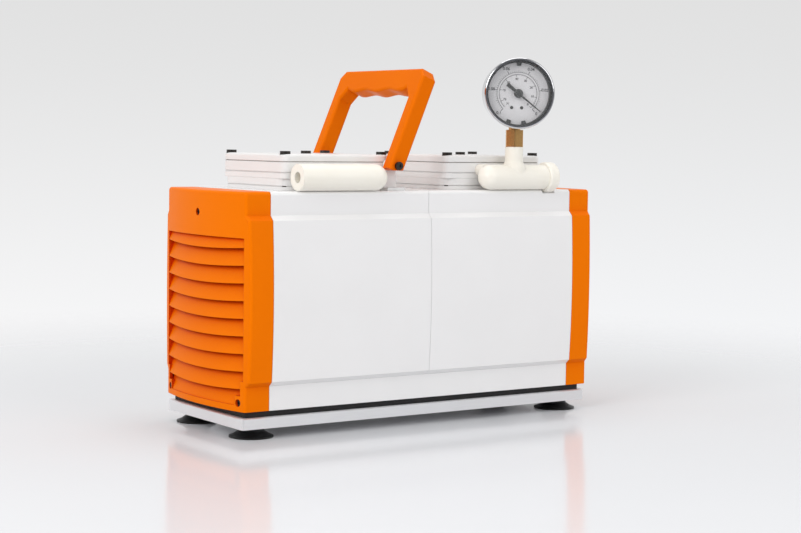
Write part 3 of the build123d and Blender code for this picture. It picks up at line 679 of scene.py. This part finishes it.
    def numerals(self) -> None:
        """Prints the plain numbers of both scales."""
        bm = bmesh.new()
        span = self.full - self.zero
        for step, text in enumerate(self.outer_text):
            angle = self.zero + span * step / (len(self.outer_text) - 1)
            self.number(bm, text, angle, self.outer_text_r, self.outer_text_size)
        for value in self.inner_text:
            angle = self.zero + span * value / self.inner_steps
            self.number(bm, str(value), angle, self.inner_text_r, self.inner_text_size)
        self.finish(bm, "dial_numbers", "black_dial_ink", Body.FRAME, "pointer_black")

    def number(self, bm: Mesh, text: str, angle: float, radius: float, size: float) -> None:
        """Adds one number to the mesh.

        Args:
            bm: the mesh to add to.
            text: the digits.
            angle: its direction in degrees.
            radius: its distance from the centre in mm.
            size: its height in mm.
        """
        curve = bpy.data.curves.new("digits", "FONT")
        curve.body = text
        curve.size = size
        curve.align_x = "CENTER"
        curve.align_y = "CENTER"
        curve.offset = self.stroke
        curve.extrude = 0.03
        holder = bpy.data.objects.new("digits", curve)
        bpy.context.scene.collection.objects.link(holder)
        bpy.context.view_layer.update()
        mesh = bpy.data.meshes.new_from_object(holder)
        turn = math.radians(angle)
        place = (radius * math.cos(turn), radius * math.sin(turn), self.dial_z + 0.05)
        mesh.transform(Matrix.Translation(place))
        bm.from_mesh(mesh)
        bpy.data.objects.remove(holder)
        bpy.data.curves.remove(curve)
        bpy.data.meshes.remove(mesh)

    def turned(self, bm: Mesh, corners: tuple[tuple[float, float], ...], steps: int, closed: bool) -> None:
        """Spins a profile once round the dial's axis.

        Args:
            bm: the mesh to add to.
            corners: the profile's radius and height in mm, in order.
            steps: the number of steps round.
            closed: whether the profile joins up with its start.
        """
        outline = [bm.verts.new((r, 0, z)) for r, z in corners]
        ends = outline[1:] + outline[:1] if closed else outline[1:]
        edges = [bm.edges.new(pair) for pair in zip(outline, ends)]
        bmesh.ops.spin(bm, geom=outline + edges, axis=(0, 0, 1), cent=(0, 0, 0), dvec=(0, 0, 0),
                       angle=math.tau, steps=steps, use_merge=True)
        bmesh.ops.remove_doubles(bm, verts=bm.verts, dist=0.001)

    def retaining_ring(self) -> None:
        """Makes the black ring behind the glass, with its three tabs that hold the dial."""
        bm = bmesh.new()
        low, bevel = self.dial_z + 0.1, self.ring_chamfer
        corners = ((self.ring_out, low), (self.ring_in, low), (self.ring_in, self.ring_top - bevel),
                   (self.ring_in + bevel, self.ring_top), (self.ring_out, self.ring_top))
        self.turned(bm, corners, 96, True)
        for angle in self.tabs:
            made = bmesh.ops.create_cube(bm, size=1.0)
            inner = sorted(made["verts"], key=lambda v: v.co.x)[:4]
            shape = Matrix.Translation((self.tab_r, 0, self.dial_z + 0.85))
            shape = shape @ Matrix.Diagonal((*self.tab_size, 1.0))
            bmesh.ops.transform(bm, matrix=shape, verts=made["verts"])
            bmesh.ops.scale(bm, vec=(1.0, self.tab_taper, 1.0), verts=inner)
            round_dial = Matrix.Rotation(math.radians(angle), 4, "Z")
            bmesh.ops.transform(bm, matrix=round_dial, verts=made["verts"])
        self.finish(bm, "retaining_ring", "black_nylon", Body.FRAME, "socket_black")

    def dial_screws(self) -> None:
        """Makes the two small recessed screws that hold the dial."""
        bm = bmesh.new()
        for x, y in self.screws:
            made = bmesh.ops.create_cone(bm, cap_ends=True, segments=28, radius1=self.screw_r,
                                         radius2=self.screw_top_r, depth=self.screw_h)
            bmesh.ops.translate(bm, vec=(x, y, self.dial_z + self.screw_h / 2), verts=made["verts"])
            faces = [f for f in bm.faces if f.normal.z > 0.9
                     and (f.calc_center_median().xy - Vector((x, y))).length < 0.1]
            top = max(faces, key=lambda f: f.calc_area())
            bmesh.ops.inset_individual(bm, faces=[top], thickness=0.25, depth=-0.12)
        self.finish(bm, "dial_screws", "black_oxide_steel", Body.FRAME, "dark_steel")

    def pointer_hub(self) -> None:
        """Makes the domed cap on the pointer."""
        bm = bmesh.new()
        self.turned(bm, self.hub, 48, False)
        bmesh.ops.holes_fill(bm, edges=[e for e in bm.edges if e.is_boundary], sides=0)
        self.finish(bm, "pointer_hub", "black_needle_paint", Body.POINTER, "pointer_black")

    def build(self) -> None:
        """Finishes the gauge and builds every dressed piece on it."""
        self.dress("turned_brass", "gauge_stem")
        self.dress("polished_chrome", "gauge_case", "gauge_bezel")
        self.dress("white_dial_enamel", "gauge_dial")
        self.dress("black_needle_paint", "gauge_pointer")
        self.dress("dial_glass", "gauge_lens")
        self.scales()
        self.numerals()
        self.retaining_ring()
        self.dial_screws()
        self.pointer_hub()


@dataclass(frozen=True)
class SoftLamp:
    """One square soft lamp, aimed at the pump.

    The sizes and places are in metres and the power is in watts.
    """

    name: str
    at: Point
    size: float
    power: float
    target: Point = (0, 0, 0.13)

    def hang(self) -> None:
        """Hangs the lamp."""
        data = bpy.data.lights.new(self.name, "AREA")
        data.size = self.size
        data.energy = self.power
        lamp = bpy.data.objects.new(self.name, data)
        lamp.location = self.at
        aim = Vector(self.target) - Vector(self.at)
        lamp.rotation_euler = aim.to_track_quat("-Z", "Y").to_euler()
        bpy.context.scene.collection.objects.link(lamp)


@dataclass
class Studio:
    """Pale glossy table that fades into a plain backdrop, soft lamps and the camera."""

    floor_size: float = 24.0
    fade_near: float = 0.28
    fade_far: float = 1.0
    table: str = "DEDFE2"
    table_ior: float = 1.4
    table_gloss: float = 0.2
    rough_low: float = 0.1
    rough_high: float = 0.16
    top: str = "E1E1E1"
    low_left: str = "F9F9FA"
    low_right: str = "F7F8FA"
    room: str = "6E6F73"
    ambient: float = 0.72
    eye: Point = (-0.8625, -1.2775, 0.2409)
    yaw: float = 0.6032
    pitch: float = 0.0725
    roll: float = 0.0137
    lens: float = 80.22
    sensor: float = 36.0
    lamps: tuple[SoftLamp, ...] = (
        SoftLamp("key_left", (-2.2, -0.7, 1.3), 1.3, 26.5),
        SoftLamp("fill_front", (0.7, -2.5, 1.3), 1.5, 15.5),
        SoftLamp("top", (0.2, 0.3, 2.2), 1.5, 12.5),
    )

    def seen(self, tree: Tree) -> Socket:
        """Gives one for camera, mirror and through-glass rays, and nought for the rest."""
        path = add(tree, "ShaderNodeLightPath")
        pair = add(tree, "ShaderNodeMath", {"operation": "MAXIMUM"},
                   {0: path.outputs["Is Camera Ray"], 1: path.outputs["Is Glossy Ray"]})
        return add(tree, "ShaderNodeMath", {"operation": "MAXIMUM"},
                   {0: pair.outputs[0], 1: path.outputs["Is Transmission Ray"]}).outputs[0]

    def backdrop(self, tree: Tree, place: Socket) -> Socket:
        """Gives the backdrop's colour, which pales towards the table.

        Args:
            tree: the world's node tree.
            place: the direction of view.

        Returns:
            The colour.
        """
        height = add(tree, "ShaderNodeSeparateXYZ", None, {0: place})
        drop = add(tree, "ShaderNodeMapRange", {"interpolation_type": "SMOOTHSTEP"},
                   {"Value": height.outputs["Z"], "From Min": 0.1, "From Max": -0.17})
        side = add(tree, "ShaderNodeVectorMath", {"operation": "DOT_PRODUCT"},
                   {0: place, 1: (math.cos(self.yaw), -math.sin(self.yaw), 0.0)})
        across = add(tree, "ShaderNodeMapRange", None,
                     {"Value": side.outputs["Value"], "From Min": -0.2, "From Max": 0.2})
        low = add(tree, "ShaderNodeMix", {"data_type": "RGBA"},
                  {"Factor": across.outputs["Result"], "A": linear(self.low_left),
                   "B": linear(self.low_right)})
        return add(tree, "ShaderNodeMix", {"data_type": "RGBA"},
                   {"Factor": drop.outputs["Result"], "A": linear(self.top),
                    "B": low.outputs["Result"]}).outputs["Result"]

    def with_room(self, tree: Tree, place: Socket, tone: Socket) -> Socket:
        """Shows mirror rays a dimmer room opposite the backdrop, so that metal has contrast.

        Args:
            tree: the world's node tree.
            place: the direction of view.
            tone: the backdrop's colour.

        Returns:
            The colour that each ray sees.
        """
        facing = add(tree, "ShaderNodeVectorMath", {"operation": "DOT_PRODUCT"},
                     {0: place, 1: (math.sin(self.yaw), math.cos(self.yaw), 0.0)})
        ahead = add(tree, "ShaderNodeMapRange", {"interpolation_type": "SMOOTHSTEP"},
                    {"Value": facing.outputs["Value"], "From Min": -0.75, "From Max": 0.15})
        mirror = add(tree, "ShaderNodeLightPath").outputs["Is Glossy Ray"]
        direct = add(tree, "ShaderNodeMath", {"operation": "SUBTRACT"}, {0: 1.0, 1: mirror})
        lit = add(tree, "ShaderNodeMath", {"operation": "MAXIMUM"},
                  {0: ahead.outputs["Result"], 1: direct.outputs[0]})
        return add(tree, "ShaderNodeMix", {"data_type": "RGBA"},
                   {"Factor": lit.outputs[0], "A": linear(self.room), "B": tone}).outputs["Result"]

    def world(self) -> None:
        """Lights evenly from all round and shows the backdrop to the rays that can see it."""
        world = bpy.data.worlds.new("studio")
        bpy.context.scene.world = world
        world.use_nodes = True
        tree = world.node_tree
        tree.nodes.clear()
        place = add(tree, "ShaderNodeTexCoord").outputs["Generated"]
        colour = self.with_room(tree, place, self.backdrop(tree, place))
        shown = add(tree, "ShaderNodeBackground", None, {"Color": colour, "Strength": 1.0})
        light = add(tree, "ShaderNodeBackground", None,
                    {"Color": linear("FFFFFF"), "Strength": self.ambient})
        mix = add(tree, "ShaderNodeMixShader", None,
                  {0: self.seen(tree), 1: light.outputs[0], 2: shown.outputs[0]})
        add(tree, "ShaderNodeOutputWorld", None, {"Surface": mix.outputs[0]})

    def floor_material(self) -> bpy.types.Material:
        """Makes a glossy white table whose far part fades into the backdrop."""
        made, tree, shader, place = start("white_acrylic_table")
        cloud = add(tree, "ShaderNodeTexNoise", None, {"Vector": place, "Scale": 3.0, "Detail": 2.0})
        rough = add(tree, "ShaderNodeMapRange", None,
                    {"Value": cloud.outputs["Fac"], "To Min": self.rough_low, "To Max": self.rough_high})
        tree.links.new(rough.outputs["Result"], shader.inputs["Roughness"])
        shader.inputs["Base Color"].default_value = linear(self.table)
        shader.inputs["IOR"].default_value = self.table_ior
        shader.inputs["Specular IOR Level"].default_value = self.table_gloss
        clear = add(tree, "ShaderNodeBsdfTransparent")
        length = add(tree, "ShaderNodeVectorMath", {"operation": "LENGTH"}, {0: place})
        fade = add(tree, "ShaderNodeMapRange", {"interpolation_type": "SMOOTHSTEP"},
                   {"Value": length.outputs["Value"], "From Min": self.fade_near,
                    "From Max": self.fade_far})
        share = add(tree, "ShaderNodeMath", {"operation": "MULTIPLY"},
                    {0: fade.outputs[0], 1: self.seen(tree)})
        mix = add(tree, "ShaderNodeMixShader", None,
                  {0: share.outputs[0], 1: shader.outputs[0], 2: clear.outputs[0]})
        out = next(n for n in tree.nodes if n.type == "OUTPUT_MATERIAL")
        tree.links.new(mix.outputs[0], out.inputs["Surface"])
        return made

    def floor(self) -> None:
        """Lays the floor."""
        bm = bmesh.new()
        bmesh.ops.create_grid(bm, x_segments=4, y_segments=4, size=self.floor_size)
        mesh = bpy.data.meshes.new("floor")
        bm.to_mesh(mesh)
        bm.free()
        mesh.materials.append(self.floor_material())
        floor = bpy.data.objects.new("floor", mesh)
        bpy.context.scene.collection.objects.link(floor)

    def camera(self) -> None:
        """Sets the camera."""
        yaw, pitch, roll = self.yaw, self.pitch, self.roll
        level = math.cos(pitch)
        ahead = Vector((math.sin(yaw) * level, math.cos(yaw) * level, -math.sin(pitch)))
        right = Vector((math.cos(yaw), -math.sin(yaw), 0))
        up = right.cross(ahead)
        turned = right * math.cos(roll) + up * math.sin(roll)
        upright = up * math.cos(roll) - right * math.sin(roll)
        data = bpy.data.cameras.new("camera")
        data.lens = self.lens
        data.sensor_width = self.sensor
        camera = bpy.data.objects.new("camera", data)
        spin = Matrix((turned, upright, -ahead)).transposed().to_4x4()
        camera.matrix_world = Matrix.Translation(self.eye) @ spin
        bpy.context.scene.collection.objects.link(camera)
        bpy.context.scene.camera = camera

    def build(self) -> None:
        """Builds the whole studio."""
        bpy.context.scene.view_settings.view_transform = "Standard"
        self.world()
        self.floor()
        for lamp in self.lamps:
            lamp.hang()
        self.camera()


def main() -> None:
    """Builds the pump's looks in order."""
    logging.basicConfig(level=logging.INFO, format="%(name)s: %(message)s")
    finishes = Finishes()
    for unit in (Base, Casing, EndCaps, Drive, Heads, Pneumatics, Carrying, Electrics, Gauge):
        unit(finishes).build()
    Studio().build()


if __name__ == "__main__":
    main()
